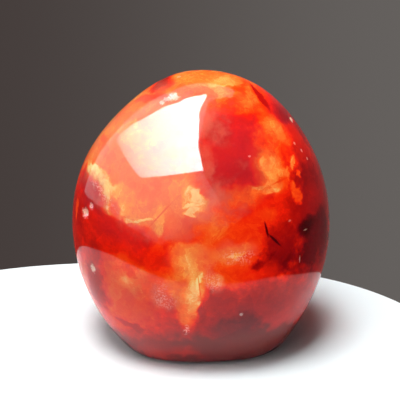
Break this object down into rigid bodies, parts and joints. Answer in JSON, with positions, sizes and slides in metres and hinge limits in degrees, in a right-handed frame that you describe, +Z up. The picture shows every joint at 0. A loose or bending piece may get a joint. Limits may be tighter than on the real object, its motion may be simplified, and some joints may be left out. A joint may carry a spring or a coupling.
{
  "type": "polished carnelian freeform",
  "caption": "Polished freeform of orange to dark red translucent chalcedony, rounded on every side, standing upright on a flat cut base.",
  "frame": {"origin": "in the plane of the flat cut base, under the middle of the stone's outline seen from above", "axes": "+Z up from the cut base along the stone's height, +X to the right across its width, -Y out of its broad front face"},
  "size_m": [0.0858, 0.0666, 0.0935],
  "materials": {
    "polished_carnelian": "polished"
  },
  "bodies": {
    "root": {"carnelian": "polished_carnelian"}
  },
  "joints": []
}
